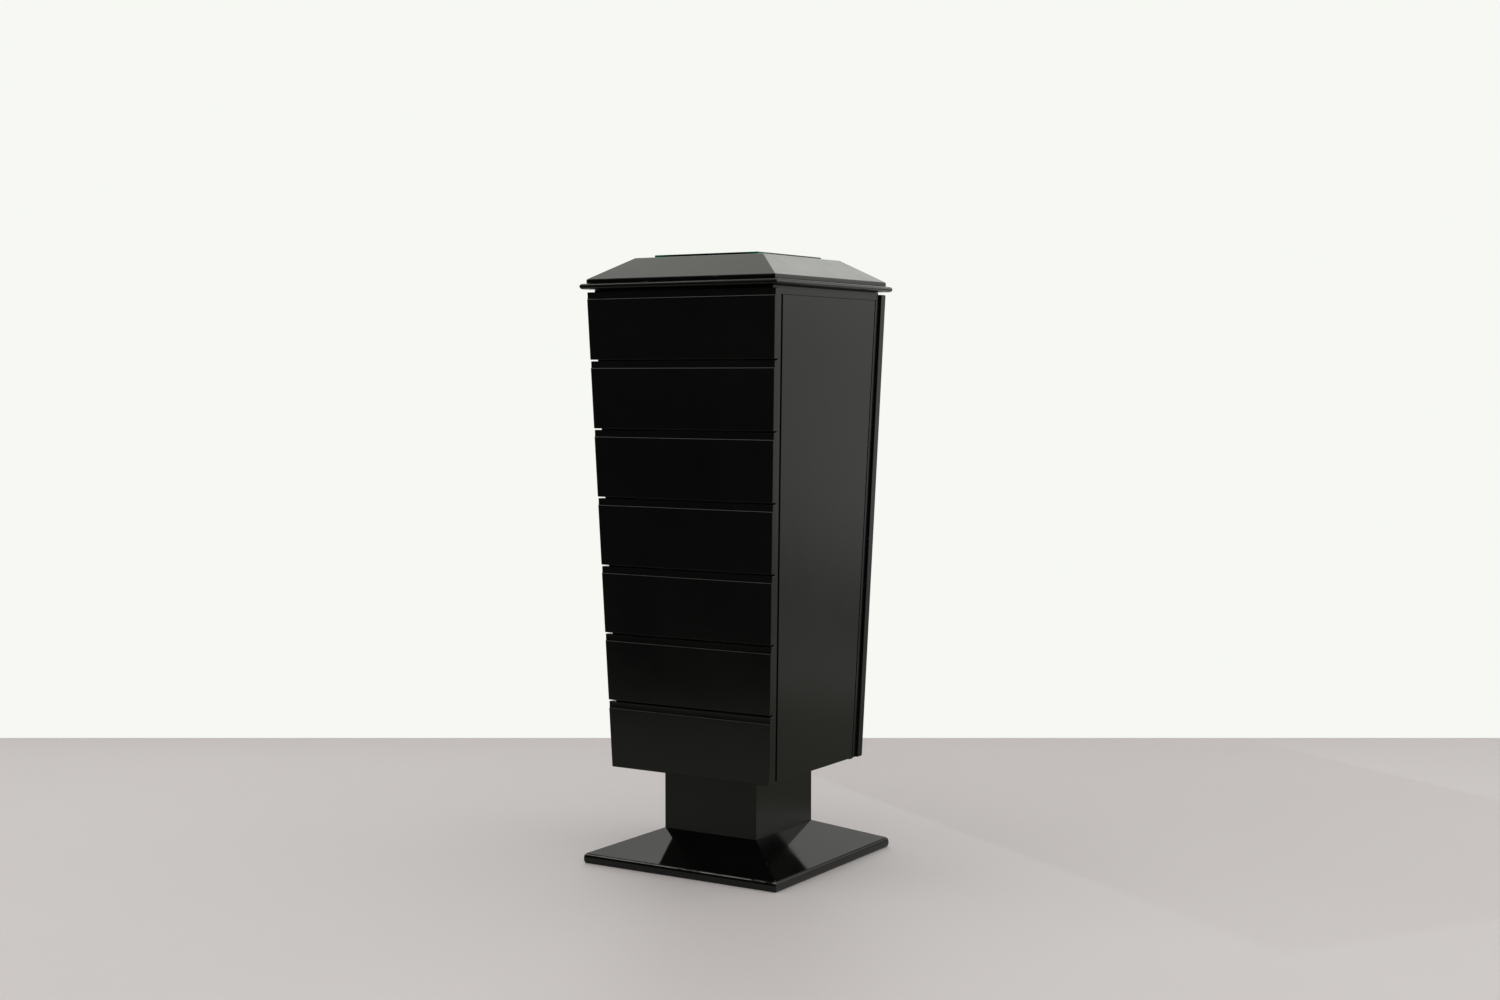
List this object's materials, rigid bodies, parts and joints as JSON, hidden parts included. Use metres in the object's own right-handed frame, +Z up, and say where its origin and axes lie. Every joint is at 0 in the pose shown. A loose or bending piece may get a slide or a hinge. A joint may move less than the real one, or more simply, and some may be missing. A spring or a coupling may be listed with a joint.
{
  "type": "jewelry armoire",
  "caption": "Tall tapered chest of drawers for jewelry on a square column and hipped base, with a hinged hipped lid over a tray and tall side doors.",
  "frame": {"origin": "on the floor under the middle of the base", "axes": "+Z up, drawers open towards -Y, side doors on -X and +X, lid hinged along its rear edge on +Y"},
  "size_m": [0.48, 0.48, 1.28],
  "materials": {
    "gloss_lacquer": "polished black lacquer on board",
    "satin_lacquer": "satin black lacquer on board",
    "inner_wood": "dark stained and oiled wood",
    "velvet": "cotton velvet on a stiff core",
    "brass": "satin brass",
    "catch": "black housing of a magnetic catch",
    "black_steel": "blackened steel",
    "dark_glass": "dark glass with green polished edges",
    "mirror": "silvered mirror glass"
  },
  "bodies": {
    "cabinet": {"base_plate": "gloss_lacquer", "base_hip": "gloss_lacquer", "column_front": "satin_lacquer", "column_right": "satin_lacquer", "column_back": "satin_lacquer", "column_left": "satin_lacquer", "column_cap": "inner_wood", "back_panel": "satin_lacquer", "bottom_board": "inner_wood", "front_stile_left": "satin_lacquer", "rear_stile_left": "satin_lacquer", "inner_wall_left": "inner_wood", "door_catch_left": "catch", "hook_rail_left": "brass", "door_pivot_bottom_left": "black_steel", "door_pivot_top_left": "black_steel", "front_stile_right": "satin_lacquer", "rear_stile_right": "satin_lacquer", "inner_wall_right": "inner_wood", "door_catch_right": "catch", "hook_rail_right": "brass", "door_pivot_bottom_right": "black_steel", "door_pivot_top_right": "black_steel", "shelf_1": "inner_wood", "shelf_2": "inner_wood", "shelf_3": "inner_wood", "shelf_4": "inner_wood", "shelf_5": "inner_wood", "shelf_6": "inner_wood", "tray": "inner_wood", "tray_insert": "velvet", "top_board": "satin_lacquer", "neck_frame": "satin_lacquer", "rim_moulding": "gloss_lacquer", "lid_hinge_rim_leaf": "brass", "lid_hinge_pin": "brass"},
    "drawer_1": {"drawer_1_front": "gloss_lacquer", "drawer_1_box": "inner_wood", "drawer_1_insert": "velvet"},
    "drawer_2": {"drawer_2_front": "gloss_lacquer", "drawer_2_box": "inner_wood", "drawer_2_insert": "velvet"},
    "drawer_3": {"drawer_3_front": "gloss_lacquer", "drawer_3_box": "inner_wood", "drawer_3_insert": "velvet"},
    "drawer_4": {"drawer_4_front": "gloss_lacquer", "drawer_4_box": "inner_wood"},
    "drawer_5": {"drawer_5_front": "gloss_lacquer", "drawer_5_box": "inner_wood"},
    "drawer_6": {"drawer_6_front": "gloss_lacquer", "drawer_6_box": "inner_wood"},
    "drawer_7": {"drawer_7_front": "gloss_lacquer", "drawer_7_box": "inner_wood"},
    "side_door_left": {"side_door_left": "satin_lacquer"},
    "side_door_right": {"side_door_right": "satin_lacquer"},
    "lid": {"lid_band": "gloss_lacquer", "lid_hip": "gloss_lacquer", "lid_slab": "dark_glass", "lid_mirror": "mirror", "lid_hinge_lid_leaf": "brass"}
  },
  "joints": [
    {"name": "drawer_1_slide", "type": "slide", "parent": "cabinet", "child": "drawer_1", "axis": [0, -1, 0], "range_m": [0, 0.24]},
    {"name": "drawer_2_slide", "type": "slide", "parent": "cabinet", "child": "drawer_2", "axis": [0, -1, 0], "range_m": [0, 0.24]},
    {"name": "drawer_3_slide", "type": "slide", "parent": "cabinet", "child": "drawer_3", "axis": [0, -1, 0], "range_m": [0, 0.24]},
    {"name": "drawer_4_slide", "type": "slide", "parent": "cabinet", "child": "drawer_4", "axis": [0, -1, 0], "range_m": [0, 0.24]},
    {"name": "drawer_5_slide", "type": "slide", "parent": "cabinet", "child": "drawer_5", "axis": [0, -1, 0], "range_m": [0, 0.24]},
    {"name": "drawer_6_slide", "type": "slide", "parent": "cabinet", "child": "drawer_6", "axis": [0, -1, 0], "range_m": [0, 0.24]},
    {"name": "drawer_7_slide", "type": "slide", "parent": "cabinet", "child": "drawer_7", "axis": [0, -1, 0], "range_m": [0, 0.24]},
    {"name": "side_door_left_hinge", "type": "hinge", "parent": "cabinet", "child": "side_door_left", "pos_m": [-0.18622, 0.15622, 0.204], "axis": [0.0352, -0.0352, -0.9988], "range_deg": [0, 95]},
    {"name": "side_door_right_hinge", "type": "hinge", "parent": "cabinet", "child": "side_door_right", "pos_m": [0.18622, 0.15622, 0.204], "axis": [0.0352, 0.0352, 0.9988], "range_deg": [0, 95]},
    {"name": "lid_hinge", "type": "hinge", "parent": "cabinet", "child": "lid", "pos_m": [0, 0.2332, 1.21975], "axis": [-1, 0, 0], "range_deg": [0, 95]}
  ]
}
